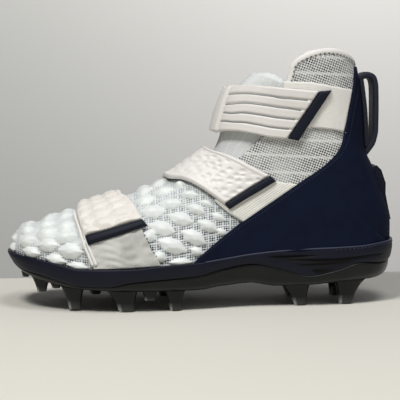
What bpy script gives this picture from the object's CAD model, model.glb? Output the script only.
import bpy
import numpy as np
from math import cos, pi, radians, sin
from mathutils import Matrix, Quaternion, Vector
from mathutils.bvhtree import BVHTree


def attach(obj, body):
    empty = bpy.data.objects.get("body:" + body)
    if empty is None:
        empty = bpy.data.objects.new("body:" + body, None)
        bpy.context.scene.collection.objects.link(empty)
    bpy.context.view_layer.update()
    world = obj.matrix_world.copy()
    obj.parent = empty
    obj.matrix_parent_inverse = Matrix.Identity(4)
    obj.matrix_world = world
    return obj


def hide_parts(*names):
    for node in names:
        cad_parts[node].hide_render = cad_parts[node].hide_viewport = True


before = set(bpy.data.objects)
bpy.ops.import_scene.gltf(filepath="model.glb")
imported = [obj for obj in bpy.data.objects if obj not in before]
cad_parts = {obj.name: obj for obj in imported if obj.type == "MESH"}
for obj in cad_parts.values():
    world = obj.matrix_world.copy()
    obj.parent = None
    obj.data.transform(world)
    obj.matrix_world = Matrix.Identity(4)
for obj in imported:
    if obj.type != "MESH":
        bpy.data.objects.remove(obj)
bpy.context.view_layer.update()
print("frame loaded,", len(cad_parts), "nodes")

# the shoe's own sizes in metres: toe at -X, outer side at -Y, floor at z = 0
shoe = {
    "length": 0.306,
    "ballWidth": 0.106,
    "heelWidth": 0.080,
    "ankleWidth": 0.076,
    "instep": 0.122,
    "collar": 0.185,
    "crest": 0.0098,     # how far the collar's sides stand above its front
    "stud": 0.0165,
    "soleDepth": 0.031,
    "wall": 0.0022,
    "cupWall": 0.0034,
    "tuck": 0.0003,      # air between pieces that meet
}
halfLength = shoe["length"] / 2
pixel = 0.000797         # one pixel of the 400 x 400 photo on the shoe


def blend(places, values, at):
    # smooth curve through the rows of a table, without overshoot
    places, values = np.asarray(places, float), np.asarray(values, float)
    at = np.clip(at, places[0], places[-1])
    step = np.diff(places)
    slope = np.diff(values) / step
    tangent = np.zeros(len(places))
    tangent[0], tangent[-1] = slope[0], slope[-1]
    for i in range(1, len(places) - 1):
        if slope[i - 1] * slope[i] > 0:
            before, after = 2 * step[i] + step[i - 1], step[i] + 2 * step[i - 1]
            tangent[i] = (before + after) / (before / slope[i - 1] + after / slope[i])
    i = np.clip(np.searchsorted(places, at, side="right") - 1, 0, len(places) - 2)
    t = (at - places[i]) / step[i]
    return ((2 * t**3 - 3 * t**2 + 1) * values[i] + (t**3 - 2 * t**2 + t) * step[i] * tangent[i]
            + (3 * t**2 - 2 * t**3) * values[i + 1] + (t**3 - t**2) * step[i] * tangent[i + 1])


def along(share):
    return (np.asarray(share) - 0.5) * shoe["length"]


def level(share):        # 0 at the ball's tread, 1 at the instep, 2 at the collar's front
    low = np.minimum(share, 1.0) * (shoe["instep"] - shoe["stud"])
    high = np.maximum(np.asarray(share) - 1.0, 0.0) * (shoe["collar"] - shoe["instep"])
    return shoe["stud"] + low + high


# sole outline: place along, half width as a share of ball and heel width, centre line
outline = np.array((
    (0.000, 0.000, 0.000, 0.085), (0.003, 0.083, 0.000, 0.080), (0.012, 0.165, 0.000, 0.075),
    (0.035, 0.262, 0.000, 0.065), (0.070, 0.340, 0.000, 0.055), (0.120, 0.405, 0.000, 0.042),
    (0.180, 0.458, 0.000, 0.025), (0.250, 0.490, 0.000, 0.005), (0.320, 0.500, 0.000, -0.010),
    (0.400, 0.480, 0.000, -0.018), (0.480, 0.330, 0.145, -0.020), (0.560, 0.180, 0.287, -0.018),
    (0.640, 0.060, 0.415, -0.010), (0.720, 0.000, 0.490, 0.000), (0.800, 0.000, 0.500, 0.000),
    (0.870, 0.000, 0.482, 0.000), (0.930, 0.000, 0.415, 0.000), (0.965, 0.000, 0.325, 0.000),
    (0.988, 0.000, 0.200, 0.000), (0.998, 0.000, 0.085, 0.000), (1.000, 0.000, 0.000, 0.000)))
outlineTurn = np.arccos(1 - 2 * outline[:, 0])
outlineHalf = shoe["ballWidth"] * outline[:, 1] + shoe["heelWidth"] * outline[:, 2]
outlineCentre = shoe["ballWidth"] * outline[:, 3]

# sole side view: place along, then tread, seam, footbed and rim as shares of the sole's depth
stack = np.array((
    (0.000, 0.660, 0.740, 0.810, 0.885), (0.020, 0.500, 0.600, 0.750, 0.860),
    (0.050, 0.340, 0.465, 0.655, 0.820), (0.095, 0.190, 0.370, 0.560, 0.755),
    (0.140, 0.100, 0.240, 0.470, 0.670), (0.190, 0.030, 0.140, 0.370, 0.565),
    (0.255, 0.000, 0.130, 0.340, 0.570), (0.320, -0.020, 0.245, 0.340, 0.585),
    (0.400, -0.030, 0.305, 0.385, 0.650), (0.480, -0.030, 0.355, 0.470, 0.690),
    (0.545, 0.050, 0.505, 0.585, 0.765), (0.615, 0.100, 0.605, 0.690, 0.855),
    (0.690, 0.000, 0.455, 0.680, 0.920), (0.765, 0.010, 0.275, 0.680, 0.960),
    (0.840, 0.065, 0.410, 0.690, 0.980), (0.900, 0.090, 0.580, 0.720, 1.000),
    (0.960, 0.100, 0.540, 0.770, 1.050), (1.000, 0.100, 0.540, 0.790, 1.065)))
stackColumn = {"tread": 1, "seam": 2, "footbed": 3, "rim": 4}


def soleHeight(name, share):
    return shoe["stud"] + shoe["soleDepth"] * blend(stack[:, 0], stack[:, stackColumn[name]], share)


def outlineAt(turn, inset):
    half = blend(outlineTurn, outlineHalf, turn) * (1 - 2 * inset / shoe["ballWidth"])
    return -(halfLength - inset) * np.cos(turn), half, blend(outlineTurn, outlineCentre, turn)


# the foot's sections from toe to collar: foot, rise, top, crest, ball, ankle, belly, round,
# bluntness, lean, throat; a rise of -1 stands on the footbed
sections = np.array((
    (0.0125, -1, 0.0165, 0.336, 0.105, 0.000, 0.35, 1.0, 2.3, 0.075, 1.00),
    (0.0310, -1, 0.0325, 0.417, 0.236, 0.000, 0.35, 1.0, 2.4, 0.070, 1.00),
    (0.0950, -1, 0.1050, 0.493, 0.363, 0.000, 0.30, 1.0, 2.5, 0.065, 1.00),
    (0.1990, -1, 0.2060, 0.569, 0.442, 0.000, 0.26, 1.0, 2.4, 0.060, 1.00),
    (0.2885, -1, 0.2840, 0.640, 0.474, 0.000, 0.24, 1.0, 2.2, 0.055, 1.00),
    (0.3950, -1, 0.3600, 0.715, 0.455, 0.000, 0.24, 1.0, 2.1, 0.050, 1.00),
    (0.4740, -1, 0.4120, 0.773, 0.425, 0.000, 0.26, 1.0, 2.1, 0.045, 1.00),
    (0.5590, -1, 0.4575, 0.855, 0.200, 0.270, 0.28, 1.0, 2.2, 0.040, 0.91),
    (0.6470, -1, 0.4965, 0.935, 0.060, 0.425, 0.30, 1.0, 2.2, 0.030, 0.88),
    (0.7450, -1, 0.5245, 1.000, 0.000, 0.500, 0.32, 1.0, 2.3, 0.020, 0.86),
    (0.8430, -1, 0.5375, 1.140, 0.000, 0.500, 0.34, 1.0, 2.3, 0.015, 0.84),
    (0.9180, -1, 0.5460, 1.300, 0.000, 0.490, 0.36, 1.1, 2.3, 0.010, 0.82),
    (0.9700, -1, 0.5540, 1.440, 0.000, 0.485, 0.38, 1.3, 2.3, 0.005, 0.81),
    (0.9885, 0.256, 0.5620, 1.550, 0.000, 0.480, 0.40, 1.7, 2.3, 0.000, 0.80),
    (0.9880, 0.427, 0.5730, 1.680, 0.000, 0.475, 0.42, 1.9, 2.3, 0.000, 0.79),
    (0.9720, 0.610, 0.5885, 1.800, 0.000, 0.475, 0.43, 2.0, 2.3, 0.000, 0.77),
    (0.9420, 0.840, 0.6060, 1.890, 0.000, 0.475, 0.44, 2.0, 2.3, 0.000, 0.75),
    (0.9195, 1.000, 0.6180, 1.940, 0.000, 0.480, 0.45, 2.0, 2.3, 0.000, 0.72),
    (0.9135, 1.440, 0.6280, 1.970, 0.000, 0.485, 0.46, 2.0, 2.3, 0.000, 0.68),
    (0.8970, 2.040, 0.6370, 2.000, 0.000, 0.490, 0.46, 2.0, 2.3, 0.000, 0.63)))
heelCorner, collarSection = 13, len(sections) - 1
footRises = np.where(sections[:, 1] < 0, soleHeight("footbed", sections[:, 0]), level(sections[:, 1]))
sectionColumns = {
    "footX": along(sections[:, 0]), "footZ": footRises, "topX": along(sections[:, 2]),
    "topZ": level(sections[:, 3]),
    "half": shoe["ballWidth"] * sections[:, 4] + shoe["ankleWidth"] * sections[:, 5],
    "belly": sections[:, 6], "round": sections[:, 7], "bluntness": sections[:, 8],
    "lean": shoe["ballWidth"] * sections[:, 9], "throat": sections[:, 10]}
sectionNumbers = np.arange(len(sections))


def atSection(name, u):
    return blend(sectionNumbers, sectionColumns[name], u)


def sideView(u, v):
    footX = atSection("footX", u)
    onSole = np.asarray(u) < heelCorner - 1
    footZ = np.where(onSole, soleHeight("footbed", footX / shoe["length"] + 0.5), atSection("footZ", u))
    nearCollar = np.clip((u - collarSection + 3) / 3, 0, 1) ** 2
    crest = np.sin(pi * np.clip(v / 0.66, 0, 1)) ** 0.8
    return (footX + v * (atSection("topX", u) - footX),
            footZ + v * (atSection("topZ", u) - footZ) + shoe["crest"] * nearCollar * crest)


def lastPoint(u, s):
    # the upper's outer face: u from toe to collar, s from 0 (outer foot) over 1 to 2 (inner foot)
    u, s = np.broadcast_arrays(np.asarray(u, float), np.asarray(s, float))
    v = np.where(s <= 1, s, 2 - s)
    side = np.where(s <= 1, -1.0, 1.0)
    x, z = sideView(u, v)
    footX = atSection("footX", u)
    turn = np.arccos(np.clip(-footX / (halfLength - shoe["cupWall"]), -1.0, 1.0))
    _, edge, centre = outlineAt(turn, shoe["cupWall"])
    edge = np.where(u < heelCorner, edge, 0.0)
    half = np.maximum(atSection("half", u), edge)
    belly = atSection("belly", u)
    below = np.clip(1 - (1 - v / belly) ** 2, 0, 1) ** (1 / atSection("round", u))
    power = atSection("bluntness", u)
    above = np.clip(1 - np.clip((v - belly) / (1 - belly), 0, 1) ** power, 0, 1) ** (1 / power)
    width = np.where(v < belly, edge + (half - edge) * below, half * above)
    centre = centre + (atSection("lean", u) - centre) * v
    return np.stack((x, centre + side * width, z), -1)


def unit(vectors):
    return vectors / np.maximum(np.linalg.norm(vectors, axis=-1, keepdims=True), 1e-9)


def circle(count):
    return np.linspace(0, 2 * pi, count, endpoint=False)


def lastNormal(u, s):
    nudge = 0.02
    u = np.clip(u, nudge, collarSection - nudge)
    alongU = lastPoint(u + nudge, s) - lastPoint(u - nudge, s)
    overS = lastPoint(u, np.clip(s + nudge, 0, 2)) - lastPoint(u, np.clip(s - nudge, 0, 2))
    return unit(np.cross(alongU, overS))


def locate(x, z):        # sections and shares of points of the side view
    x, z = np.broadcast_arrays(np.asarray(x, float), np.asarray(z, float))
    us, vs = np.meshgrid(np.linspace(0, collarSection, 96), np.linspace(0, 1, 41))
    gridX, gridZ = sideView(us, vs)
    best = [int(np.argmin((gridX - a) ** 2 + (gridZ - b) ** 2)) for a, b in zip(x.ravel(), z.ravel())]
    u, v = us.flat[best].reshape(x.shape), vs.flat[best].reshape(x.shape)
    nudge = 1e-4
    for _ in range(8):
        hereX, hereZ = sideView(u, v)
        xu, zu = [(a - b) / (2 * nudge) for a, b in zip(sideView(u + nudge, v), sideView(u - nudge, v))]
        xv, zv = [(a - b) / (2 * nudge) for a, b in zip(sideView(u, v + nudge), sideView(u, v - nudge))]
        size = xu * zv - xv * zu
        size = np.where(np.abs(size) < 1e-9, 1e-9, size)
        stepU = ((x - hereX) * zv - (z - hereZ) * xv) / size
        stepV = ((z - hereZ) * xu - (x - hereX) * zu) / size
        u = np.clip(u + np.clip(stepU, -0.3, 0.3), 0.02, collarSection - 0.02)
        v = np.clip(v + np.clip(stepV, -0.1, 0.1), 0.0, 1.0)
    return u, v


# the camera, at the photo's angle
shot = {"distance": 0.97, "lens": 113.0, "pitch": 5.5, "roll": -0.4, "yaw": 4.0,
        "aim": (-0.0023, -0.0243, 0.0837)}


def makeCamera():
    yaw, pitch = radians(shot["yaw"]), radians(shot["pitch"])
    look = Vector((sin(yaw) * cos(pitch), cos(yaw) * cos(pitch), -sin(pitch)))
    data = bpy.data.cameras.new("photoCamera")
    data.lens, data.sensor_width = shot["lens"], 36.0
    camera = bpy.data.objects.new("photoCamera", data)
    bpy.context.scene.collection.objects.link(camera)
    camera.rotation_mode = "QUATERNION"
    roll = Quaternion((0, 0, 1), radians(shot["roll"]))
    camera.rotation_quaternion = look.to_track_quat("-Z", "Y") @ roll
    camera.location = Vector(shot["aim"]) - look * shot["distance"]
    bpy.context.scene.camera = camera
    return camera


def numberGrid(rows, columns):
    return np.arange(rows * columns).reshape(rows, columns)


def gridFaces(index):
    # quads over a grid of point numbers; shared numbers give triangles
    quads = np.stack((index[:-1, :-1], index[1:, :-1], index[1:, 1:], index[:-1, 1:]), -1).reshape(-1, 4)
    faces = [tuple(dict.fromkeys(int(k) for k in quad)) for quad in quads]
    return [face for face in faces if len(face) > 2]


camera = makeCamera()
probe = {"rows": 240, "columns": 160}
probeU = np.linspace(0, collarSection, probe["rows"])
probeS = 1 - np.cos(np.linspace(0, pi, probe["columns"]))
probePoints = lastPoint(probeU[:, None], probeS[None, :])
probeFaces = gridFaces(numberGrid(probe["rows"], probe["columns"]))
probeTree = BVHTree.FromPolygons([tuple(p) for p in probePoints.reshape(-1, 3)], probeFaces)


def throughLens(px, py):
    side, half = 36.0 / shot["lens"], 200
    return camera.rotation_quaternion @ Vector(((px - half) / 400 * side, (half - py) / 400 * side, -1))


def pin(px, py):
    # where the photo's pixel lands on the upper, as (u, s)
    for lower in np.arange(0, 8, 0.5):       # a centre on the silhouette moves down onto the upper
        hit = probeTree.ray_cast(camera.location, throughLens(px, py + lower).normalized())
        if hit[0] is not None:
            break
    else:
        raise ValueError("pixel %g, %g misses the upper" % (px, py))
    i, j = divmod(hit[2], probe["columns"] - 1)
    corner = probePoints[i, j]
    acrossU, acrossS = probePoints[i + 1, j] - corner, probePoints[i, j + 1] - corner
    share = np.linalg.lstsq(np.column_stack((acrossU, acrossS)), np.array(hit[0]) - corner, rcond=None)[0]
    share = np.clip(share, 0, 1)
    return (float(probeU[i] + share[0] * (probeU[i + 1] - probeU[i])),
            float(probeS[j] + share[1] * (probeS[j + 1] - probeS[j])))


def sidePoint(px, py, y):
    # the photo's pixel on an upright plane along the shoe, as (x, z)
    ray = throughLens(px, py)
    reach = (y - camera.location.y) / ray.y
    return camera.location.x + ray.x * reach, camera.location.z + ray.z * reach


def meshPiece(name, points, faces, material, uv=None):
    points = np.asarray(points, float)
    corners = np.array([(face[0], face[k], face[k + 1]) for face in faces for k in range(1, len(face) - 1)])
    a, b, c = points[corners[:, 0]], points[corners[:, 1]], points[corners[:, 2]]
    volume = float(np.einsum("ij,ij->i", a, np.cross(b, c)).sum())
    if volume < 0:
        faces = [tuple(reversed(face)) for face in faces]
    mesh = bpy.data.meshes.new(name)
    mesh.from_pydata(points.tolist(), [], faces)
    mesh.shade_smooth()
    mesh.materials.append(material)
    if uv is not None:
        layer = mesh.uv_layers.new(name="UVMap")
        used = np.zeros(len(mesh.loops), int)
        mesh.loops.foreach_get("vertex_index", used)
        layer.data.foreach_set("uv", (np.asarray(uv)[used] * 10).astype(np.float32).ravel())
    made = bpy.data.objects.new(name, mesh)
    bpy.context.scene.collection.objects.link(made)
    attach(made, "root")
    return made


def shellPiece(name, points, faces, normals, out, under, material, uv):
    # a closed shell between two offsets of one open surface
    count = len(points)
    outer = points + normals * np.broadcast_to(out, count)[:, None]
    inner = points + normals * np.broadcast_to(under, count)[:, None]
    edges = {pair for face in faces for pair in zip(face, face[1:] + face[:1])}
    rim = [(a, b) for a, b in edges if (b, a) not in edges]
    closed = faces + [tuple(k + count for k in reversed(face)) for face in faces]
    closed += [(b, a, a + count, b + count) for a, b in sorted(rim)]
    return meshPiece(name, np.concatenate((outer, inner)), closed, material,
                     np.concatenate((uv, uv)))


def ruler(points, axis=0):
    # metres from the start of a line, or along one axis of a grid, averaged over the other
    steps = np.linalg.norm(np.diff(points, axis=axis), axis=-1)
    return np.concatenate(([0], np.cumsum(steps.mean(1 - axis) if steps.ndim > 1 else steps)))


def slab(name, points, normals, lift, thick, material, soft, bump=None):
    # a pad over a grid of points, its outer side rounded off towards its edges
    byRow, byColumn = ruler(points)[:, None], ruler(points, 1)[None, :]
    edge = np.minimum(byColumn, byColumn[0, -1] - byColumn) + 0 * byRow
    edge = np.minimum(edge, np.minimum(byRow, byRow[-1, 0] - byRow))
    rounding = np.sqrt(1 - (1 - np.clip(edge / soft, 0, 1)) ** 2)
    height = thick * (0.35 + 0.65 * rounding)
    if bump is not None:
        height = height + bump(byRow + 0 * byColumn, byColumn + 0 * byRow) * rounding
    index = numberGrid(*points.shape[:2])
    lift = np.broadcast_to(lift, points.shape[:2])
    uv = np.stack((byRow + 0 * byColumn, byColumn + 0 * byRow), -1).reshape(-1, 2)
    return shellPiece(name, points.reshape(-1, 3), gridFaces(index), normals.reshape(-1, 3),
                      (lift + height).ravel(), lift.ravel(), material, uv)


def wrapGrid(us, lows, highs, columns, reach=None):
    # both halves of the last as one surface, joined where they meet at the ridge or the back
    share = np.linspace(0, 1, columns)
    s = lows[:, None] + (highs - lows)[:, None] * share
    s = np.stack((s, 2 - s))
    u = us[:, None] + 0 * s
    if reach is not None:
        u = reach(u, s)
    points, normals = lastPoint(u, s), lastNormal(u, s)
    index = np.arange(points[..., 0].size).reshape(2, len(us), columns)
    for k in (0, columns - 1):
        for i in range(len(us)):
            if np.linalg.norm(points[0, i, k] - points[1, i, k]) < 2e-5:
                index[1, i, k] = index[0, i, k]
                middle = normals[0, i, k] + normals[1, i, k]
                normals[0, i, k] = middle / np.linalg.norm(middle)
    kept, index = np.unique(index, return_inverse=True)
    index = index.reshape(2, len(us), columns)
    faces = gridFaces(index[0]) + [tuple(reversed(face)) for face in gridFaces(index[1])]
    points, normals = points.reshape(-1, 3)[kept], normals.reshape(-1, 3)[kept]
    return points, normals, faces, index, u.reshape(-1)[kept], s.reshape(-1)[kept]


def addAttribute(made, name, values):
    layer = made.data.attributes.new(name, "FLOAT", "POINT")
    layer.data.foreach_set("value", np.asarray(values, np.float32).ravel())


# materials: each has its own colour, weave and relief; lengths are in metres of the piece's own grid
def newMaterial(name, colour, roughness):
    made = bpy.data.materials.new(name)
    made.use_nodes = True
    shader = made.node_tree.nodes["Principled BSDF"]
    shader.inputs["Base Color"].default_value = (*colour, 1.0)
    shader.inputs["Roughness"].default_value = roughness
    return made, made.node_tree, shader


def addNode(tree, kind, **values):
    node = tree.nodes.new(kind)
    for key, value in values.items():
        if key in node.inputs:
            node.inputs[key].default_value = value
        else:
            setattr(node, key, value)
    return node


def mathNode(tree, operation, a, b=None):
    node = tree.nodes.new("ShaderNodeMath")
    node.operation = operation
    for k, value in enumerate((a, b)):
        if isinstance(value, (int, float)):
            node.inputs[k].default_value = value
        elif value is not None:
            tree.links.new(value, node.inputs[k])
    return node.outputs[0]


def times(tree, a, b):
    return mathNode(tree, "MULTIPLY", a, b)


def plus(tree, a, b):
    return mathNode(tree, "ADD", a, b)


def less(tree, a, b):
    return mathNode(tree, "SUBTRACT", a, b)


def gridCoordinates(tree, pitchX, pitchY, turn=0.0):
    # the piece's own grid in cells of the given pitch
    source = tree.nodes.new("ShaderNodeUVMap")
    source.uv_map = "UVMap"
    mapping = addNode(tree, "ShaderNodeMapping")
    mapping.inputs["Scale"].default_value = (0.1 / pitchX, 0.1 / pitchY, 1)
    mapping.inputs["Rotation"].default_value = (0, 0, radians(turn))
    tree.links.new(source.outputs[0], mapping.inputs["Vector"])
    return mapping.outputs[0]


def attributeOf(tree, name):
    return addNode(tree, "ShaderNodeAttribute", attribute_name=name).outputs["Fac"]


def paint(tree, shader, factor, first, second):
    tree.links.new(mixColour(tree, factor, first, second), shader.inputs["Base Color"])


def weaveBump(tree, shader, height, strength, distance):
    bump = addNode(tree, "ShaderNodeBump", Strength=strength, Distance=distance)
    tree.links.new(height, bump.inputs["Height"])
    tree.links.new(bump.outputs[0], shader.inputs["Normal"])


def mixColour(tree, factor, first, second):
    node = tree.nodes.new("ShaderNodeMix")
    node.data_type = "RGBA"
    tree.links.new(factor, node.inputs[0])
    for k, value in ((6, first), (7, second)):
        if isinstance(value, tuple):
            node.inputs[k].default_value = (*value, 1.0)
        else:
            tree.links.new(value, node.inputs[k])
    return node.outputs[2]


def noise(tree, scale, detail):
    node = addNode(tree, "ShaderNodeTexNoise", Scale=scale, Detail=detail)
    tree.links.new(tree.nodes.new("ShaderNodeTexCoord").outputs["Object"], node.inputs["Vector"])
    return node.outputs["Fac"]


def ramp(tree, value, low, high):
    node = tree.nodes.new("ShaderNodeMapRange")
    node.interpolation_type = "SMOOTHSTEP"
    node.inputs["From Min"].default_value = low
    node.inputs["From Max"].default_value = high
    tree.links.new(value, node.inputs["Value"])
    return node.outputs[0]


def dotMask(tree, vector, size, jitter):
    # 1 inside small dots, one to a cell
    cells = addNode(tree, "ShaderNodeTexVoronoi", Scale=1.0, Randomness=jitter)
    tree.links.new(vector, cells.inputs["Vector"])
    return less(tree, 1.0, ramp(tree, cells.outputs["Distance"], size * 0.7, size * 1.3))


def waveMask(tree, vector, axis, width):
    # 1 on thin lines, one to a cell along an axis
    parts = tree.nodes.new("ShaderNodeSeparateXYZ")
    tree.links.new(vector, parts.inputs[0])
    away = mathNode(tree, "ABSOLUTE", less(tree, mathNode(tree, "FRACT", parts.outputs[axis]), 0.5))
    return less(tree, 1.0, ramp(tree, away, width * 0.6, width * 1.4))


knit = {"white": (0.70, 0.745, 0.75), "hole": (0.010, 0.016, 0.034), "scale": (0.75, 0.785, 0.77),
        "dotPitch": 0.0019, "dotSize": 0.42, "groups": 3.0}


def knitMaterial():
    made, tree, shader = newMaterial("scaleKnit", knit["white"], 0.72)
    shader.inputs["Sheen Weight"].default_value = 0.15
    cells = gridCoordinates(tree, knit["dotPitch"], knit["dotPitch"])
    dots = dotMask(tree, cells, knit["dotSize"], 0.18)
    groups = gridCoordinates(tree, knit["dotPitch"] * knit["groups"], knit["dotPitch"] * knit["groups"])
    bars = mathNode(tree, "MAXIMUM", waveMask(tree, groups, 0, 0.13), waveMask(tree, groups, 1, 0.13))
    dots = times(tree, dots, less(tree, 1.0, times(tree, bars, 0.75)))
    raised = attributeOf(tree, "raised")
    dense = attributeOf(tree, "open")
    flat = less(tree, 1.0, raised)
    holes = times(tree, times(tree, dots, flat), dense)
    patchy = ramp(tree, noise(tree, 60, 3), 0.35, 0.65)
    ground = mixColour(tree, times(tree, patchy, 0.5), knit["white"], (0.70, 0.735, 0.735))
    ground = mixColour(tree, raised, ground, knit["scale"])
    paint(tree, shader, holes, ground, knit["hole"])
    tree.links.new(less(tree, 0.78, times(tree, raised, 0.33)), shader.inputs["Roughness"])
    fine = times(tree, noise(tree, 2600, 2), plus(tree, times(tree, flat, 0.8), 0.12))
    weaveBump(tree, shader, less(tree, fine, holes), 0.6, 0.0004)
    return made


def meshKnitMaterial(name, white, hole, pitch, size, turn, strength=1.0):
    # open knit: rows of small dark gaps between white threads
    made, tree, shader = newMaterial(name, white, 0.8)
    shader.inputs["Sheen Weight"].default_value = 0.15
    cells = gridCoordinates(tree, pitch[0], pitch[1], turn)
    dots = dotMask(tree, cells, size, 0.12)
    patchy = ramp(tree, noise(tree, 45, 3), 0.3, 0.7)
    faded = times(tree, dots, plus(tree, 0.55 * strength, times(tree, patchy, 0.45 * strength)))
    streaks = waveMask(tree, gridCoordinates(tree, pitch[0] * 40, pitch[1] * 6.5, turn), 1, 0.08)
    faded = times(tree, faded, less(tree, 1.0, times(tree, streaks, 0.7)))
    paint(tree, shader, faded, white, hole)
    weaveBump(tree, shader, less(tree, times(tree, noise(tree, 2400, 2), 0.6), dots), 0.6, 0.0004)
    return made


def clothMaterial(name, colour, roughness, grain, relief, patch=0.12, sheen=0.0, lines=None, specular=0.5):
    # plain cloth or film: a little colour variation, fine grain and optional ribs
    made, tree, shader = newMaterial(name, colour, roughness)
    shader.inputs["Sheen Weight"].default_value = sheen
    shader.inputs["Specular IOR Level"].default_value = specular
    darker = tuple(c * (1 - patch) for c in colour)
    paint(tree, shader, ramp(tree, noise(tree, 70, 4), 0.3, 0.7), colour, darker)
    height = noise(tree, grain, 3)
    if lines:
        ribs = waveMask(tree, gridCoordinates(tree, lines[0], lines[1], lines[2]), lines[3], 0.22)
        height = plus(tree, height, times(tree, ribs, 0.8))
    weaveBump(tree, shader, height, relief, 0.0004)
    return made


def foamMaterial():
    made = clothMaterial("midsoleFoam", (0.0048, 0.0064, 0.0165), 0.5, 700, 0.10, 0.2, specular=0.22)
    tree = made.node_tree
    shader = tree.nodes["Principled BSDF"]
    deep = attributeOf(tree, "deep")
    shown = shader.inputs["Base Color"].links[0].from_socket
    paint(tree, shader, ramp(tree, deep, 0.0, 0.55), shown, (0.0008, 0.0009, 0.0022))
    return made


def plateMaterial():
    made, tree, shader = newMaterial("smokePlastic", (0.007, 0.009, 0.009), 0.3)
    shader.inputs["Specular IOR Level"].default_value = 0.22
    shader.inputs["Coat Weight"].default_value = 0.08
    shader.inputs["Coat Roughness"].default_value = 0.12
    clear = attributeOf(tree, "clear")
    colour = mixColour(tree, ramp(tree, noise(tree, 40, 3), 0.3, 0.7), (0.0035, 0.0045, 0.0045),
                       (0.0065, 0.0075, 0.007))
    paint(tree, shader, clear, colour, (0.42, 0.43, 0.41))
    tree.links.new(plus(tree, 0.22, times(tree, noise(tree, 60, 3), 0.16)), shader.inputs["Roughness"])
    weaveBump(tree, shader, noise(tree, 90, 2), 0.12, 0.0005)
    return made


finish = {
    "knit": knitMaterial(),
    "quarter": meshKnitMaterial("openKnit", (0.74, 0.75, 0.73), (0.018, 0.02, 0.026), (0.00185, 0.00185),
                                0.40, 20),
    "tongue": meshKnitMaterial("tongueKnit", (0.80, 0.82, 0.81), (0.25, 0.27, 0.29), (0.0011, 0.0013), 0.30,
                               8, 0.6),
    "lining": clothMaterial("lining", (0.55, 0.56, 0.55), 0.95, 1500, 0.5),
    "ankle": clothMaterial("ankleStrapFilm", (0.73, 0.705, 0.675), 0.48, 900, 0.10, 0.04),
    "midfoot": clothMaterial("midfootStrapFilm", (0.78, 0.755, 0.73), 0.5, 1100, 0.12, 0.05),
    "forefoot": clothMaterial("forefootStrapFilm", (0.775, 0.745, 0.695), 0.5, 1100, 0.12, 0.05),
    "tab": clothMaterial("darkTab", (0.0055, 0.0075, 0.0175), 0.6, 1600, 0.3, 0.1, specular=0.2),
    "heel": clothMaterial("heelCloth", (0.0032, 0.0066, 0.0230), 0.75, 2200, 0.35, 0.2, 0.0, specular=0.12),
    "loop": clothMaterial("loopWebbing", (0.0050, 0.0080, 0.0200), 0.62, 1800, 0.4, 0.2, 0.08,
                          (0.0016, 0.0016, 0, 0), 0.35),
    "foam": foamMaterial(),
    "ankleBase": clothMaterial("whiteLoopCloth", (0.79, 0.775, 0.735), 0.85, 1200, 0.4, 0.06, 0.1,
                               (0.0011, 0.0011, 0, 1)),
    "midfootBase": clothMaterial("webbing", (0.76, 0.755, 0.70), 0.8, 1000, 0.4, 0.12, 0.1,
                                 (0.0014, 0.0014, 0, 0)),
    "forefootBase": clothMaterial("fuzzyCloth", (0.60, 0.60, 0.57), 0.95, 1900, 1.0, 0.28, 0.35),
    "plate": plateMaterial(),
    "hole": clothMaterial("tapeHoles", (0.10, 0.10, 0.105), 0.8, 2500, 0.2),
    "greySeam": clothMaterial("greyThread", (0.26, 0.27, 0.27), 0.8, 2500, 0.3),
    "binding": clothMaterial("collarTape", (0.80, 0.79, 0.76), 0.85, 1500, 0.4, 0.08),
    "seam": clothMaterial("darkThread", (0.012, 0.016, 0.030), 0.7, 2500, 0.3),
    "lip": clothMaterial("cupLip", (0.035, 0.042, 0.075), 0.45, 900, 0.1, specular=0.35),
}
print("materials made,", len(finish))


# raised scales on the knit: the photo's pixel of each centre, its length, width and tilt
scales = {"rise": 0.0035, "sink": 0.0013, "edge": 0.24, "bevel": 0.72, "gap": 0.97, "longer": 1.10}
scaleTable = [
    (29, 223.6, 13, 6, -12), (48, 219, 14, 6, -5), (66, 215, 19, 7, -5), (26.6, 229.3, 14, 7.5, -10),
    (46, 223.5, 18, 7, -4), (45.6, 232, 20, 12, 2), (65, 225, 20, 10, -2), (26.5, 240.7, 19, 11, -4),
    (65, 236.4, 24, 12, 2), (47.7, 245, 22, 13, 6), (70.5, 251, 25, 16, 7), (30.4, 252, 22, 11, 8),
    (55.3, 260, 22, 12, 9), (77.5, 266.5, 22, 9, 8), (14.5, 238, 8, 10, -35), (13, 247, 10, 8, -10),
    (84, 243, 12, 12, 8), (144, 190.4, 17, 9, 5), (144.8, 199.2, 21, 10, 10), (157, 182.5, 15, 7, 12),
    (163, 190.6, 21, 8, 10), (188.3, 194, 20, 8, 15), (206.6, 203, 13, 6.5, 25), (170, 203, 23, 10, 12),
    (196, 209, 20, 9.5, 25), (219, 217, 15, 7, 28), (152.5, 210.8, 26, 12, 8), (180.6, 218.3, 25, 12.5, 22),
    (208, 226, 21, 10.5, 28), (161.7, 228, 27, 14, 20), (194, 237.3, 27, 13.5, 28),
    (172.2, 245.7, 30, 15, 22), (149, 236, 14, 13, 30), (159.5, 257, 14, 11, 25), (181, 262.5, 22, 9, 0),
    (197, 251.5, 15, 9, 22), (179, 184, 12, 7, 18), (222, 232, 12, 7, 30)]
ridgeScales = [(0.45, 14), (1.3, 17), (2.15, 18), (5.75, 15), (6.2, 13)]


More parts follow.
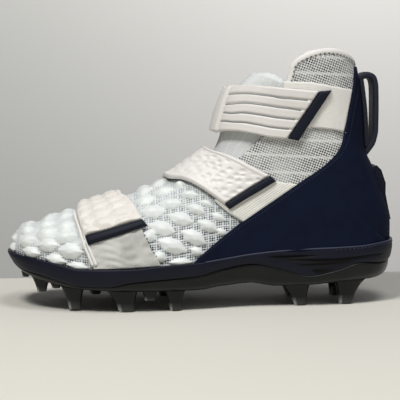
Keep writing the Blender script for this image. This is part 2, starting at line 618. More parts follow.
def scalePlaces():
    places = []
    for px, py, long, wide, tilt in scaleTable:
        u, s = pin(px, py)
        places += [(u, s, long, wide, tilt), (u, 2 - s, long, wide, tilt)]
    places += [(u, 1.0, long, long * 0.6, 0) for u, long in ridgeScales]
    made = []
    for u, s, long, wide, tilt in places:
        centre, normal = lastPoint(u, s), lastNormal(u, s)
        axis = np.array((cos(radians(tilt)), 0, -sin(radians(tilt))))
        axis -= normal * (axis @ normal)
        axis /= np.linalg.norm(axis)
        across = np.cross(normal, axis)
        shown = max(0.55, float(np.hypot(across[0], across[2]))) if s != 1.0 else 1.0
        made.append((centre, axis, normal, long * pixel / 2 * scales["longer"],
                     wide * pixel / 2 / shown * scales["gap"]))
    return made


def scaleField(points):
    # 0 between scales; a low edge around each, then flat facets up to a small top
    raised, mask = np.zeros(len(points)), np.zeros(len(points))
    for centre, axis, normal, halfLong, halfWide in scalePlaces():
        away = points - centre
        x, y = np.abs(away @ axis), np.abs(away @ np.cross(normal, axis))
        inside = 1 - np.maximum(y / halfWide, x / halfLong + 0.62 * y / halfWide)
        inside = np.where(np.abs(away @ normal) < 0.012, inside, -1)
        edge, top = np.clip(inside / 0.06, 0, 1), np.clip(inside / scales["bevel"], 0, 1)
        shape = edge * scales["edge"] + top * (1 - scales["edge"])
        size = min(1.0, halfWide / 0.0042)
        raised = np.maximum(raised, shape * size)
        mask = np.maximum(mask, edge)
    return raised, mask


collar = {"corner": 0.54, "drop": 1.6, "innerCorner": 0.38, "innerDrop": 2.2, "wider": 1.03,
          "tongueEnd": 17.85, "bindingEnd": 15.2}


def collarTop(s):
    # the section that the knit's top edge reaches, rounded off towards the open front
    depth = np.minimum(s, 2 - np.asarray(s))
    outer = collar["drop"] * np.clip((depth - collar["corner"]) / 0.22, 0, 1) ** 3.5
    inner = collar["innerDrop"] * np.clip((depth - collar["innerCorner"]) / 0.25, 0, 1) ** 1.3
    return collarSection - np.where(np.asarray(s) <= 1, outer, inner)


def knitReach(u, s):
    # the knit's rows end on the rounded top edge
    return 8.6 + (u - 8.6) * (collarTop(s) - 8.6) / (collarSection - 8.6)


def knitShell(name, uLow, uHigh, rows, columns, material, toe):
    us = np.linspace(uLow, uHigh, rows)
    highs = np.where(us <= 6.02, 1.0, atSection("throat", us))
    if not toe:
        highs = highs * (1 + (collar["wider"] - 1) * np.clip(us - 14, 0, 1))
    points, normals, faces, index, u, s = wrapGrid(us, np.zeros(rows), highs, columns,
                                                   None if toe else knitReach)
    height, mask = np.full(len(points), 0.0001), np.zeros(len(points))
    if toe:
        faces += gridFaces(np.stack((index[1, 0], index[0, 0])))
        raised, mask = scaleField(points)
        height = raised * scales["rise"] - scales["sink"]
        # rulers of the knit: along the shoe, and around it from the foot line
        girth = np.zeros(len(points))
        for half in index:
            line = points[half]
            girth[half[:, 1:]] = np.cumsum(np.linalg.norm(np.diff(line, axis=1), axis=2), axis=1)
        uv = np.stack((points[:, 0], girth), -1)
    else:
        uv = points[:, [0, 2]]
    made = shellPiece(name, points, faces, normals, height, -shoe["wall"], material, uv)
    depth = np.minimum(s, 2 - s)
    openness = np.where(u < 4.5, np.clip(1.35 - depth * 2.0, 0.10, 1), np.clip(1.3 - depth * 0.9, 0.35, 1))
    for label, values in (("raised", mask), ("open", openness)):
        addAttribute(made, label, np.concatenate((values, values)))
    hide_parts("upper")


knitShell("vampKnit", 0, 8.6, 176, 132, finish["knit"], True)
knitShell("ankleKnit", 8.6, collarSection, 84, 70, finish["quarter"], False)
print("knit upper made")

# the three straps, their tabs and their base panels; each row of a table is a side (-1 outer,
# 0 ridge, 1 inner), then place and level of the first edge and of the second
straps = {
    "thick": 0.0026, "tabThick": 0.0034, "baseThick": 0.0015, "piping": 0.0005, "pipingWidth": 0.0034,
    "ankle": ((-1, 0.787, 1.711, 0.710, 1.142), (-1, 0.718, 1.749, 0.667, 1.159),
              (-1, 0.668, 1.770, 0.630, 1.197), (-1, 0.630, 1.778, 0.592, 1.224),
              (-1, 0.600, 1.760, 0.562, 1.220), (0, 0.580, 1.740, 0.541, 1.190),
              (1, 0.600, 1.760, 0.562, 1.210), (1, 0.647, 1.760, 0.614, 1.190),
              (1, 0.712, 1.730, 0.690, 1.143), (1, 0.778, 1.700, 0.761, 1.127),
              (1, 0.835, 1.650, 0.822, 1.095)),
    "midfoot": ((-1, 0.665, 0.817, 0.550, 0.610), (-1, 0.630, 0.870, 0.521, 0.668),
                (-1, 0.5925, 0.930, 0.492, 0.724), (-1, 0.556, 0.970, 0.454, 0.770),
                (0, 0.520, 0.985, 0.412, 0.773), (1, 0.518, 0.860, 0.400, 0.680),
                (1, 0.500, 0.660, 0.395, 0.530), (1, 0.485, 0.460, 0.393, 0.380),
                (1, 0.468, 0.270, 0.385, 0.245)),
    "forefoot": ((-1, 0.205, 0.390, 0.346, 0.500), (-1, 0.191, 0.470, 0.331, 0.580),
                 (-1, 0.184, 0.530, 0.315, 0.630), (0, 0.183, 0.550, 0.297, 0.650),
                 (1, 0.186, 0.470, 0.297, 0.560), (1, 0.190, 0.350, 0.297, 0.400),
                 (1, 0.196, 0.200, 0.297, 0.210)),
    "ankleTab": ((-1, 0.817, 1.722, 0.738, 1.116), (-1, 0.7885, 1.711, 0.7115, 1.142)),
    "midfootTab": ((-1, 0.681, 0.775, 0.563, 0.575), (-1, 0.6665, 0.815, 0.5515, 0.607)),
    "forefootTab": ((-1, 0.213, 0.335, 0.358, 0.462), (-1, 0.2053, 0.387, 0.347, 0.497)),
    "ankleBase": ((-1, 0.700, 1.835, 0.700, 1.290), (-1, 0.760, 1.825, 0.757, 1.275),
                  (-1, 0.820, 1.775, 0.806, 1.255), (-1, 0.8765, 1.725, 0.852, 1.215)),
    "midfootBase": ((-1, 0.625, 0.850, 0.525, 0.640), (-1, 0.672, 0.780, 0.559, 0.555),
                    (-1, 0.735, 0.752, 0.597, 0.484)),
    "forefootBase": ((-1, 0.182, 0.535, 0.320, 0.640), (-1, 0.189, 0.440, 0.335, 0.520),
                     (-1, 0.200, 0.330, 0.352, 0.390), (-1, 0.213, 0.240, 0.368, 0.290),
                     (-1, 0.2245, 0.168, 0.391, 0.186)),
}
lateralLift = straps["baseThick"] + 2 * shoe["tuck"]


def bandPlaces(name, rows, columns):
    turns = np.array(straps[name])
    numbers, at = np.arange(len(turns)), np.linspace(0, len(turns) - 1, rows)
    share = np.linspace(0, 1, columns)[None, :]
    ends = []
    for place, rise in ((1, 2), (3, 4)):
        x, z = along(turns[:, place]), level(turns[:, rise])
        u, v = locate(x, z)
        onRidge = turns[:, 0] == 0
        u = np.where(onRidge, np.interp(x, sectionColumns["topX"], sectionNumbers), u)
        s = np.where(onRidge, 1.0, np.where(turns[:, 0] < 0, v, 2 - v))
        ends.append([blend(numbers, row, at)[:, None] for row in (u, s, x, z)])
    u, s, x, z = [first + (second - first) * share for first, second in zip(*ends)]
    outer = np.flatnonzero(turns[:, 0] < 0)[-1]
    flatRows = at <= outer
    flatU, flatV = locate(x[flatRows], z[flatRows])
    weight = np.ones(flatRows.sum()) if outer == len(turns) - 1 else np.clip(outer - at[flatRows], 0, 1)
    weight = (weight * weight * (3 - 2 * weight))[:, None]
    u[flatRows] = flatU * weight + u[flatRows] * (1 - weight)
    s[flatRows] = flatV * weight + s[flatRows] * (1 - weight)
    return np.stack((u, s), -1)


def band(pieceName, node, table, rows, columns, lift, thick, material, soft, bump=None):
    places = bandPlaces(table, rows, columns)
    u, s = places[..., 0], places[..., 1]
    if lift is None:
        lift = lateralLift + (shoe["tuck"] - lateralLift) * np.clip((s - 1) / 0.3, 0, 1)
    made = slab(pieceName, lastPoint(u, s), lastNormal(u, s), lift, thick, material, soft, bump)
    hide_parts(node)


def piping(across, width):
    # a raised binding along both long edges, with a groove beside it
    edge = np.minimum(across, width - across)
    raised = np.where(edge < straps["pipingWidth"], straps["piping"], 0.0)
    return raised - 0.0004 * np.exp(-((edge - straps["pipingWidth"]) / 0.0006) ** 2)


def ankleRelief(byRow, byColumn):
    # five flat bands between four narrow grooves
    share = byColumn / byColumn.max() * 5
    away = np.abs(share - np.round(share)) / 5 * byColumn.max()
    inner = (np.round(share) > 0) & (np.round(share) < 5)
    front = byRow[int(byRow.shape[0] * 0.44), 0]
    fold = np.where(byRow > front, 0.0009, 0.0) * np.clip(1.6 - (byRow - front) / 0.02, 0, 1)
    fold = fold - 0.0012 * np.exp(-((byRow - front) / 0.0009) ** 2)
    return 0.0007 + fold - np.where(inner * (byRow < front), 0.0011 * np.exp(-(away / 0.0008) ** 2), 0.0)


def midfootRelief(byRow, byColumn):
    # irregular dimples over the field between the bindings
    width = byColumn.max()
    chance = np.random.default_rng(4)
    depth = np.zeros_like(byRow)
    cell = 0.0062
    for i in range(int(byRow.max() / cell) + 1):
        for j in range(int(width / cell) + 1):
            row = (i + 0.5 + chance.uniform(-0.35, 0.35)) * cell
            column = (j + 0.5 * (i % 2) + chance.uniform(-0.3, 0.3)) * cell
            size = chance.uniform(0.0014, 0.0023)
            away = ((byRow - row) ** 2 + (byColumn - column) ** 2) / size**2
            depth = np.maximum(depth, np.exp(-away ** 1.5))
    field = np.minimum(byColumn, width - byColumn) > straps["pipingWidth"] + 0.001
    return 0.0003 - 0.0010 * depth * field + piping(byColumn, width)


def forefootRelief(byRow, byColumn):
    # hexagonal scales pressed into the field
    width = byColumn.max()
    long, wide = 0.0165, 0.0098
    x, y = (byColumn - 0.003) / (long * 1.5), (byRow - 0.001) / wide
    nearest = np.full(x.shape, 9.0)
    for shift in (0.0, 0.5):
        dx = np.abs((x - shift) - np.round(x - shift)) * 1.5
        dy = np.abs((y - shift) - np.round(y - shift))
        nearest = np.minimum(nearest, np.maximum(dy * 2, dx * 2 + dy))
    field = np.clip((np.minimum(byColumn, width - byColumn) - 0.0015) / 0.002, 0, 1)
    return 0.0017 * field * np.clip((0.98 - nearest) / 0.6, 0, 1) + 0.0001 + piping(byColumn, width) * 0.4


def wrinkles(byRow, byColumn):
    folds = np.sin(byRow * 900 + 2.2 * np.sin(byColumn * 160)) * np.sin(byColumn * 210 + 1.3)
    return 0.00035 * folds + 0.0003 * np.sin(byColumn * 520 + byRow * 240)


def ribs(byRow, byColumn):
    return 0.00016 * np.sin(byRow * 2 * pi / 0.0021)


for part, rows, columns, soft, relief in (
        ("ankle", 170, 64, 0.0011, ankleRelief), ("midfoot", 190, 56, 0.0015, midfootRelief),
        ("forefoot", 150, 70, 0.0015, forefootRelief)):
    band(part + "Strap", part + "_strap", part, rows, columns, None, straps["thick"], finish[part],
         soft, relief)
for part in ("ankle", "midfoot", "forefoot"):
    band(part + "Tab", part + "_strap_tab", part + "Tab", 12, 60, lateralLift, straps["tabThick"],
         finish["tab"], 0.0022)
for part, rows, columns, slotName, relief in (
        ("ankle", 60, 50, "white_loop_fabric", None), ("midfoot", 90, 50, "white_webbing", ribs),
        ("forefoot", 90, 80, "grey_loop_fabric", wrinkles)):
    band(part + "Base", part + "_base_panel", part + "Base", rows, columns, shoe["tuck"],
         straps["baseThick"], finish[part + "Base"], 0.0012, relief)
print("straps made")

# the padded panel around the heel
heel = {"thick": 0.0017, "rows": 110, "columns": 60, "underRim": 0.0014, "soft": 0.0016, "border": (
    (0.459, 0.175), (0.515, 0.315), (0.591, 0.480), (0.667, 0.622), (0.743, 0.770), (0.808, 0.900),
    (0.842, 1.020), (0.856, 1.230), (0.869, 1.500), (0.882, 1.780), (0.889, 2.010))}


def sideLine(table, count):
    # a smooth line of the side view through rows of place and level
    rows, numbers, at = np.array(table), range(len(table)), np.linspace(0, len(table) - 1, count)
    return blend(numbers, along(rows[:, 0]), at), blend(numbers, level(rows[:, 1]), at)


def lowestShare(u, clear):
    # where the surface rises out of the midsole's rim
    s = np.linspace(0, 0.6, 601)
    point = lastPoint(u, s)
    above = point[:, 2] > soleHeight("rim", point[:, 0] / shoe["length"] + 0.5) + clear
    return float(s[np.argmax(above)]) if u < heelCorner else 0.0


def heelPanel():
    border = np.stack(locate(*sideLine(heel["border"], 240)), -1)
    us = np.linspace(border[0, 0], border[-1, 0], heel["rows"])
    highs = np.interp(us, border[:, 0], border[:, 1])
    lows = np.array([lowestShare(u, -heel["underRim"]) for u in us])
    lows = np.minimum(lows, highs - 0.002)
    points, normals, faces, index, u, s = wrapGrid(us, lows, highs, heel["columns"])
    edge = (np.interp(u, us, highs) - np.minimum(s, 2 - s)) * 0.10
    rounding = np.sqrt(1 - (1 - np.clip(edge / heel["soft"], 0, 1)) ** 2)
    out = shoe["tuck"] + heel["thick"] * (0.4 + 0.6 * rounding)
    made = shellPiece("heelPanel", points, faces, normals, out, shoe["tuck"], finish["heel"],
                      points[:, [0, 2]])
    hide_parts("heel_panel")


heelPanel()
print("heel panel made")

# tongue: half of its width over the ridge, section by section
tongue = {"thick": 0.0050, "clear": 0.0009, "tuck": 0.0034, "free": 8.2, "rise": 0.0040,
          "half": ((5.6, 0.16), (7, 0.21), (9, 0.24), (12, 0.27), (15, 0.30), (19, 0.29))}


def makeTongue():
    us = np.linspace(5.6, collar["tongueEnd"], 120)
    half = blend([row[0] for row in tongue["half"]], [row[1] for row in tongue["half"]], us)
    share = np.linspace(-1, 1, 40)
    s = 1 + half[:, None] * share
    points, normals = lastPoint(us[:, None], s), lastNormal(us[:, None], s)
    end = points[-1:] + np.array((0, 0, 1.0)) * (tongue["rise"] * (1 - share**4))[:, None]
    risen = np.concatenate((points, end))
    normals = np.concatenate((normals, normals[-1:]))
    lift = -shoe["wall"] - tongue["clear"] - tongue["tuck"] * np.clip(tongue["free"] - us, 0, 1)
    lift = np.concatenate((lift, lift[-1:]))[:, None] - tongue["thick"]
    made = slab("tonguePad", risen, normals, lift, tongue["thick"], finish["tongue"], 0.004)
    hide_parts("tongue")


makeTongue()


def tubePiece(name, rings, material):
    # a closed tube through rings of points
    rings = np.asarray(rings)
    index = numberGrid(*rings.shape[:2])
    faces = gridFaces(np.concatenate((index, index[:, :1]), axis=1))
    faces += [tuple(int(k) for k in index[0]), tuple(int(k) for k in reversed(index[-1]))]
    girth = ruler(rings, 1)
    run = ruler(rings.mean(1))
    uv = np.stack(np.broadcast_arrays(run[:, None], girth[None, :]), -1).reshape(-1, 2)
    return meshPiece(name, rings.reshape(-1, 3), faces, material, uv)


def beads(name, points, normals, runs, size, material):
    # a row of small rounded stitches; size is half length, half width, height
    turns = circle(8)
    allPoints, faces = [], []
    for point, normal, run in zip(points, normals, runs):
        side = np.cross(normal, run)
        first = len(allPoints)
        for spread, up in ((1.0, 0.0), (0.75, 0.75)):
            allPoints += [point + run * size[0] * spread * cos(t) + side * size[1] * spread * sin(t)
                          + normal * size[2] * up for t in turns]
        allPoints += [point + normal * size[2], point - normal * size[2] * 0.3]
        for k in range(8):
            after = (k + 1) % 8
            faces.append((first + k, first + after, first + 8 + after, first + 8 + k))
            faces.append((first + 8 + k, first + 8 + after, first + 16))
            faces.append((first + after, first + k, first + 17))
    meshPiece(name, allPoints, faces, material)


def onLine(places, run, line):
    return np.stack([np.interp(places, run, line[:, i]) for i in range(3)], -1)


def alongLine(u, s, pitch, lift):
    # evenly spaced points on the last along a line of (u, s), with normals and directions
    at = np.linspace(0, 1, 400)
    number = np.linspace(0, 1, len(u))
    u, s = np.interp(at, number, u), np.interp(at, number, s)
    line = lastPoint(u, s)
    run = ruler(line)
    places = np.arange(pitch / 2, run[-1], pitch)
    u, s = np.interp(places, run, u), np.interp(places, run, s)
    normals = lastNormal(u, s)
    here = onLine(places, run, line)
    direction = onLine(places + pitch / 4, run, line) - onLine(places - pitch / 4, run, line)
    direction -= normals * np.einsum("ij,ij->i", direction, normals)[:, None]
    return here + normals * np.broadcast_to(lift, len(places))[:, None], normals, unit(direction)


# rounded binding around the collar's edge, with its row of small dark holes
binding = {"width": 0.0040, "above": 0.0028, "below": 0.0020, "raise": 0.0010, "corners": 14,
           "hole": (0.0008, 0.0006, 0.00035), "pitch": 0.0036}


def collarBinding():
    # around the top edge, and down both front edges of the opening
    front = float(atSection("throat", collarSection)) * collar["wider"]
    fall = np.linspace(collar["bindingEnd"], collarSection, 26)[:-1]
    fallShare = atSection("throat", fall) * collar["wider"]
    topShare = front * (0.5 + 0.5 * np.cos(np.linspace(0, pi, 60)))
    share = np.concatenate((fallShare, topShare))
    start = np.concatenate((fall, np.full(len(topShare), float(collarSection))))
    start, edge = np.concatenate((start, start[-2::-1])), np.concatenate((share, 2 - share[-2::-1]))
    u = np.minimum(knitReach(start, edge), collarSection - 0.03)
    middle, out = lastPoint(u, edge), lastNormal(u, edge)
    middle[1:-1] = middle[1:-1] * 0.5 + (middle[:-2] + middle[2:]) * 0.25
    run = unit(np.gradient(middle, axis=0))
    up = unit(np.cross(out, run))
    up *= np.sign(up[len(up) // 2, 2])
    out = unit(out - run * np.einsum("ij,ij->i", out, run)[:, None])
    turns = circle(binding["corners"])
    rings = []
    for k, point in enumerate(middle):
        centre = point - out[k] * shoe["wall"] / 2 + up[k] * (shoe["tuck"] + binding["raise"])
        rings.append([centre + out[k] * np.sign(cos(t)) * abs(cos(t)) ** 0.7 * binding["width"] / 2
                      + up[k] * sin(t) * binding["above" if sin(t) > 0 else "below"] for t in turns])
    made = tubePiece("collarBinding", rings, finish["binding"])
    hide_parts("collar_binding")
    step = ruler(middle)
    places = np.arange(0.003, step[-1] - 0.002, binding["pitch"])
    points, outs, runs = [onLine(places, step, rows) for rows in (middle, out, run)]
    points = points + outs * (binding["width"] / 2 - shoe["wall"] / 2 - 0.0001)
    beads("bindingHoles", points, outs, runs, binding["hole"], finish["hole"])


collarBinding()
print("collar and tongue made")

# rows of stitches and piping, each a line of the photo's pixels on the upper
seams = {
    "forefootStitches": (((142, 231), (148, 241), (152, 250), (158, 259)), 0.0030, 0.0012,
                         (0.0010, 0.00035, 0.0004), "seam"),
    "ankleSeamLow": (((310, 127.5), (330, 129.5), (345, 133)), 0.0021, 0.0020, (0.0007, 0.0003, 0.0003),
                     "greySeam"),
    "ankleSeamLower": (((309, 130), (329, 132), (344, 135.5)), 0.0021, 0.0006, (0.0007, 0.0003, 0.0003),
                       "greySeam"),
    "ankleSeamHigh": (((290, 81), (305, 82), (320, 85), (340, 88.5), (352, 91)), 0.0021, 0.0006,
                      (0.0007, 0.0003, 0.0003), "greySeam"),
    "heelStitches": (((201, 257), (220, 242), (240, 227), (260, 214), (280, 200.5), (300, 186.5),
                      (320, 172.5), (332, 163), (341, 154), (347, 140), (350.5, 120), (354, 100), (357, 82)),
                     0.0022, 0.0020, (0.0007, 0.0003, 0.0003), "seam"),
}
for name, (line, pitch, lift, size, key) in seams.items():
    at = np.linspace(0, len(line) - 1, 5 * len(line))
    line = [[np.interp(a, range(len(line)), [p[k] for p in line]) for k in (0, 1)] for a in at]
    places = np.array([pin(px, py) for px, py in line])
    for side, shares in (("Outer", places[:, 1]), ("Inner", 2 - places[:, 1])):
        if side == "Inner" and name != "heelStitches":
            continue
        points, normals, runs = alongLine(places[:, 0], shares, pitch, lift)
        beads(name + side, points, normals, runs, size, finish[key])


def pipeLine(name, places, radius, lift, material):
    points, normals, runs = alongLine(places[:, 0], places[:, 1], 0.001, lift)
    turns = circle(10)
    rings = [[point + radius * (normal * sin(t) + np.cross(normal, run) * cos(t)) for t in turns]
             for point, normal, run in zip(points, normals, runs)]
    tubePiece(name, rings, material)


strapTop = lateralLift + straps["thick"]
fold = np.array([pin(px, py) for px, py in ((219, 132), (222, 118), (226.5, 104), (234, 89.5))])
pipeLine("strapFold", fold, 0.0005, strapTop + 0.0008, finish["greySeam"])
strapRows = bandPlaces("ankle", 170, 6)[3:74]
for number in range(1, 5):
    pipeLine(f"strapGroove{number}", strapRows[:, number], 0.0005, strapTop, finish["greySeam"])
for name, shift in (("pipingLeft", 0), ("pipingRight", 3.6)):
    line = [(74.5 + shift, 214), (79.5 + shift, 229), (84.5 + shift, 245), (93.5 + shift, 266)]
    pipeLine(name, np.array([pin(px, py) for px, py in line]), 0.0011, 0.0019, finish["binding"])

# pull loop at the back of the collar, with a padded strip under it
loop = {"width": 0.020, "thick": 0.0052, "padThick": 0.0036, "padHalf": 0.0092, "path": (
    (0.905, 1.860), (0.928, 1.905), (0.943, 1.880), (0.9505, 1.760), (0.9515, 1.500), (0.951, 1.240),
    (0.945, 1.080), (0.925, 0.960))}


def heelLoop():
    x, z = sideLine(loop["path"], 90)
    run, rise = np.gradient(x), np.gradient(z)
    size = np.hypot(run, rise)
    turns, across = circle(36), np.array((0, 1, 0))
    rings = []
    for k in range(len(x)):
        out = np.array((-rise[k], 0, run[k])) / size[k]
        rings.append([np.array((x[k], 0, z[k]))
                      + across * np.sign(cos(t)) * abs(cos(t)) ** 0.35 * loop["width"] / 2
                      + out * np.sign(sin(t)) * abs(sin(t)) ** 0.6 * loop["thick"] / 2 for t in turns])
    made = tubePiece("heelLoop", rings, finish["loop"])
    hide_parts("heel_loop")


def loopPad():
    # the padded strip of the heel that the loop stands over
    us, width = np.linspace(16.95, 18.7, 40), np.linspace(-1, 1, 24)
    rows = []
    for u in us:
        shares = np.linspace(0, 0.3, 400)
        side = lastPoint(u, shares)[:, 1]
        rows.append([np.interp(abs(y) * loop["padHalf"], np.abs(side), shares) for y in width])
    s = np.array(rows)
    s = np.where(width < 0, s, 2 - s)
    lift = shoe["tuck"] * 2 + heel["thick"]
    slab("loopPad", lastPoint(us[:, None], s), lastNormal(us[:, None], s), lift, loop["padThick"],
         finish["loop"], 0.003)


heelLoop()
loopPad()

# midsole cup: heights as shares from the seam with the plate up to the rim
cup = {"levels": 64, "around": 190, "grooveDepth": 0.0026, "grooveWidth": 0.0034,
       "inset": ((0.00, 0.0030), (0.09, 0.0020), (0.18, 0.0013), (0.28, 0.0009), (0.38, 0.0006),
                 (0.66, 0.0), (0.94, 0.0002), (1.00, 0.0008)),
       "grooves": (((268, 257), (290, 256.2), (320, 255.5)),
                   ((281, 260.5), (310, 259.8), (340, 259), (388, 255)),
                   ((297, 265.5), (330, 263.6), (360, 261)), ((312, 270.5), (335, 269.5)))}


def cupLoop(height, inset):
    turns = np.linspace(0, pi, cup["around"] + 1)
    x, half, centre = outlineAt(turns, inset)
    z = height(x / shoe["length"] + 0.5)
    outer = np.stack((x, centre - half, z), -1)
    inner = np.stack((x, centre + half, z), -1)
    return np.concatenate((outer, inner[-2:0:-1]))


def grooveDepth(x, z):
    # each groove has a sharp lip above and fades out below it
    depth = np.zeros_like(x)
    for groove in cup["grooves"]:
        line = np.array([sidePoint(px, py, -0.040) for px, py in groove])
        share = np.clip((x - line[0, 0]) / (line[-1, 0] - line[0, 0]), 0, 1)
        swell = np.sin(pi * share) ** 0.45 * np.interp(share, (0, 0.25, 1), (1.15, 1.15, 0.75))
        below = np.interp(x, line[:, 0], line[:, 1]) + 0.0008 - z
        lip = np.clip(below / 0.0006, 0, 1)
        fall = np.exp(-(np.maximum(below, 0) / (cup["grooveWidth"] * swell + 0.0002)) ** 2)
        depth = np.maximum(depth, cup["grooveDepth"] * np.minimum(swell, 1) * lip * fall)
    return depth


def ladder(first, count, up):
    half = count // 2
    faces = []
    for k in range(half):
        face = tuple(dict.fromkeys((k, (count - k) % count, (count - k - 1) % count, k + 1)))
        faces.append(tuple(first + c for c in (face if up else reversed(face))))
    return faces


def loftPiece(name, loops, material):
    loops = np.asarray(loops)
    count = loops.shape[1]
    index = numberGrid(*loops.shape[:2])
    faces = gridFaces(np.concatenate((index, index[:, :1]), axis=1))
    faces = [tuple(reversed(face)) for face in faces]
    faces += ladder(0, count, True) + ladder(int(index[-1, 0]), count, False)
    girth = ruler(loops, 1)
    rise = ruler(loops)
    uv = np.stack(np.broadcast_arrays(girth[None, :], rise[:, None]), -1).reshape(-1, 2)
    return meshPiece(name, loops.reshape(-1, 3), faces, material, uv)


def midsole():
    loops, shade = [], []
    places, insets = [p[0] for p in cup["inset"]], [p[1] for p in cup["inset"]]
    for up in np.linspace(0, 1, cup["levels"]):
        def height(share):
            return soleHeight("seam", share) + up * (soleHeight("rim", share) - soleHeight("seam", share))
        inset = float(blend(places, insets, up))
        loop = cupLoop(height, inset)
        depth = grooveDepth(loop[:, 0], loop[:, 2])
        deeper = cupLoop(height, inset + cup["grooveDepth"])
        loops.append(loop + (deeper - loop) * (depth / cup["grooveDepth"])[:, None])
        shade.append(np.clip(depth / cup["grooveDepth"], 0, 1))
    wall = shoe["cupWall"] - shoe["tuck"]
    loops.append(cupLoop(lambda share: soleHeight("rim", share) + 0.0002, 0.0018))
    loops.append(cupLoop(lambda share: soleHeight("rim", share), wall - 0.0004))
    loops.append(cupLoop(lambda share: soleHeight("rim", share) - 0.0010, wall))
    loops.append(cupLoop(lambda share: soleHeight("footbed", share), wall))
    made = loftPiece("midsoleCup", loops, finish["foam"])
    addAttribute(made, "deep", np.concatenate(shade + [np.zeros(4 * len(loops[0]))]))
    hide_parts("midsole")


midsole()


def rimLine():
    # a thin lip around the heel on the cup's top edge, with a row of stitches under it
    lip = cupLoop(lambda share: soleHeight("rim", share) - 0.0001, 0.0007)
    stitch = cupLoop(lambda share: soleHeight("rim", share) - 0.0016, 0.0002)
    kept = lip[:, 0] > along(0.50)
    lip, stitch = lip[kept], stitch[kept]
    run = unit(np.gradient(lip, axis=0))
    up = np.array((0.0, 0.0, 1.0)) - run * run[:, 2:]
    out = np.cross(run, up)
    turns = circle(10)
    rings = [[lip[k] + 0.0006 * (out[k] * cos(t) + up[k] * sin(t)) for t in turns] for k in range(len(lip))]
    tubePiece("cupLip", rings, finish["lip"])
    heelOnly = np.flatnonzero(stitch[:, 0] > along(0.83))[::2]
    outs = out * np.sign(np.einsum("ij,ij->i", out, lip - np.array((0.06, 0, 0))))[:, None]
    beads("cupStitches", stitch[heelOnly], outs[heelOnly], run[heelOnly], (0.0008, 0.0003, 0.0004),
          finish["lip"])


rimLine()

# plate: drop is the share of the way down from the seam; then the studs, each with its place
# along and across, base and tip sizes in mm, lean in mm and its end's height as a share of a stud's
plate = {"edge": ((1.00, 0.0125), (0.96, 0.0100), (0.88, 0.0080), (0.76, 0.0062), (0.62, 0.0048),
                  (0.45, 0.0040), (0.30, 0.0034), (0.12, 0.0031), (0.0, 0.0030)),
         "flare": ((0.0, 0.0), (0.1, 0.05), (0.25, 0.13), (0.4, 0.23), (0.55, 0.36), (0.7, 0.52),
                   (0.82, 0.67), (0.92, 0.84), (1.0, 1.0)),
         "around": 28, "ridge": 0.16, "slim": 0.06}
studs = ((0.087, -0.58, 15, 11, 7, 6, 1, 0.80), (0.087, 0.58, 15, 11, 7, 6, 1, 0.80),
         (0.047, -0.35, 8, 8, 5, 5, 0, 1.40), (0.047, 0.35, 8, 8, 5, 5, 0, 1.40),
         (0.168, -0.72, 19, 13, 9, 8, 2, 0.10), (0.168, 0.72, 19, 13, 9, 8, 2, 0.10),
         (0.127, -0.62, 11, 8, 6, 5, 0, 1.00), (0.292, -0.74, 25, 15, 11.5, 8.5, 3.5, 0),
         (0.280, 0.76, 23, 15, 11, 8.5, 3, 0), (0.362, -0.74, 13, 9, 8, 6, 0, 0.52),
         (0.350, 0.76, 13, 9, 8, 6, 0, 0.52), (0.424, -0.74, 17, 13, 8, 7.5, 0.5, 0),
         (0.405, 0.76, 17, 13, 8, 7.5, 0.5, 0), (0.225, 0.05, 14, 14, 8, 8, 0, 0.45),
         (0.734, -0.62, 24, 14, 9, 8, 4, 0), (0.734, 0.62, 24, 14, 9, 8, 4, 0),
         (0.878, -0.58, 25, 14, 10, 8, -4, 0), (0.878, 0.58, 25, 14, 10, 8, -4, 0))


def soleplate():
    loops = []
    for drop, inset in plate["edge"]:
        def height(share):
            seam = soleHeight("seam", share) - shoe["tuck"]
            return seam - drop * (seam - soleHeight("tread", share))
        loops.append(cupLoop(height, inset))
    made = loftPiece("soleplate", loops, finish["plate"])
    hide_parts("outsole")
    points, faces, clear = [], [], []
    around = plate["around"]
    for place, across, baseLong, baseWide, tipLong, tipWide, lean, tip in studs:
        x = float(along(place))
        turn = np.arccos(-x / (halfLength - 0.0030))
        _, half, centre = outlineAt(turn, 0.0030)
        first = len(points)
        for up, flare in ((-0.001, -0.03),) + plate["flare"]:
            if up < 0:
                long, wide, rise = tipLong - 0.8, tipWide - 0.8, 0.0
            else:
                long, rise = tipLong + (baseLong - tipLong) * flare, max(up, 0.02)
                wide = tipWide + (baseWide - tipWide) * flare
            for t in circle(around):
                corner = (abs(cos(t)) ** 5 + abs(sin(t)) ** 5) ** -0.2
                here = x + (lean * (1 - max(flare, 0)) + long / 2 * corner * cos(t)) * 0.001
                root = float(soleHeight("tread", here / shoe["length"] + 0.5)) + 0.0010
                low = shoe["stud"] * tip
                ridge = plate["ridge"] * max(0.0, 1 - abs(cos(t)) * 1.5) - plate["slim"]
                beside = wide / 2 * 0.001 * (corner * sin(t) + ridge * np.sign(round(sin(t), 6)))
                points.append((here, centre + half * across + beside, low + (root - low) * rise))
                clear.append(max(0.0, 1 - rise * 2.6) * (1.0 if cos(t) < -0.55 else 0.12))
        rings = len(plate["flare"]) + 1
        for i in range(rings - 1):
            for k in range(around):
                after = (k + 1) % around
                low = first + i * around
                faces.append((low + k, low + after, low + around + after, low + around + k))
        faces.append(tuple(first + k for k in reversed(range(around))))
        faces.append(tuple(first + (rings - 1) * around + k for k in range(around)))
    made = meshPiece("studs", points, faces, finish["plate"])
    addAttribute(made, "clear", clear)
    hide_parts("outsole")


soleplate()
print("sole made")

# CAD nodes that stay as they are get their cloth
for node, key in (("insole", "lining"), ("heel_spine", "tab")):
    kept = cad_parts[node]
    kept.data.materials.clear()
    kept.data.materials.append(finish[key])

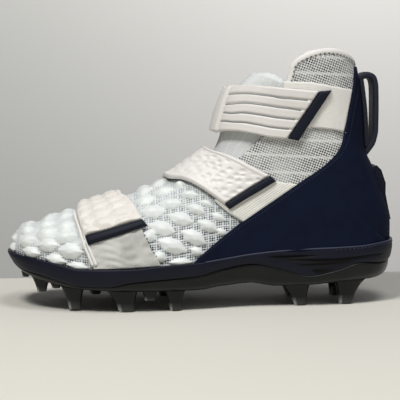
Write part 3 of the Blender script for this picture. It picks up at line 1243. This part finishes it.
# floor, backdrop and soft light from the front and above
def makeStage():
    floorPaint, _, shader = newMaterial("floorPaint", (0.71, 0.69, 0.63), 0.7)
    shader.inputs["Specular IOR Level"].default_value = 0.05
    wallPaint, tree, shader = newMaterial("wallPaint", (0.60, 0.60, 0.57), 0.9)
    parts = tree.nodes.new("ShaderNodeSeparateXYZ")
    tree.links.new(tree.nodes.new("ShaderNodeTexCoord").outputs["Object"], parts.inputs[0])
    lighter = ramp(tree, plus(tree, parts.outputs[0], times(tree, parts.outputs[2], 0.6)), -0.5, 0.9)
    paint(tree, shader, lighter, (0.70, 0.705, 0.675), (0.93, 0.915, 0.885))
    made = []
    for name, corners, surface in (
            ("floor", ((-3, -3, 0), (3, -3, 0), (3, 0.136, 0), (-3, 0.136, 0)), floorPaint),
            ("floorEdge", ((-3, 0.136, 0), (3, 0.136, 0), (3, 0.136, -0.4), (-3, 0.136, -0.4)), floorPaint),
            ("wall", ((-4, 1.6, -1.5), (4, 1.6, -1.5), (4, 1.6, 3), (-4, 1.6, 3)), wallPaint)):
        mesh = bpy.data.meshes.new(name)
        mesh.from_pydata(corners, [], [(0, 1, 2, 3)])
        mesh.materials.append(surface)
        made.append(bpy.data.objects.new(name, mesh))
        bpy.context.scene.collection.objects.link(made[-1])
    made[-1].visible_diffuse = False  # the far wall throws no light under the shoe
    for name, place, size, power, tint in (
            ("key", (-0.5, -0.95, 1.6), 0.4, 22.5, (1.0, 0.985, 0.96)),
            ("fill", (1.3, -1.4, 1.2), 1.2, 4, (0.94, 0.97, 1.0)),
            ("top", (0.3, -0.7, 1.7), 0.6, 10.5, (1.0, 1.0, 0.99)),
            ("back", (0.5, 0.5, 1.3), 1.0, 15, (1.0, 0.99, 0.97))):
        light = bpy.data.lights.new(name, "AREA")
        light.size, light.energy, light.color = size, power, tint
        lamp = bpy.data.objects.new(name, light)
        lamp.location = place
        lamp.rotation_mode = "QUATERNION"
        aim = Vector((0.2, 1.6, 1.2) if name == "back" else (0, 0, 0.08))
        lamp.rotation_quaternion = (aim - Vector(place)).to_track_quat("-Z", "Y")
        bpy.context.scene.collection.objects.link(lamp)
        made.append(lamp)
    world = bpy.data.worlds.new("room")
    world.use_nodes = True
    world.node_tree.nodes["Background"].inputs[0].default_value = (0.93, 0.95, 1.0, 1)
    world.node_tree.nodes["Background"].inputs[1].default_value = 0.13
    bpy.context.scene.world = world


makeStage()
bpy.context.scene.view_settings.view_transform = "Standard"
print("stage made")
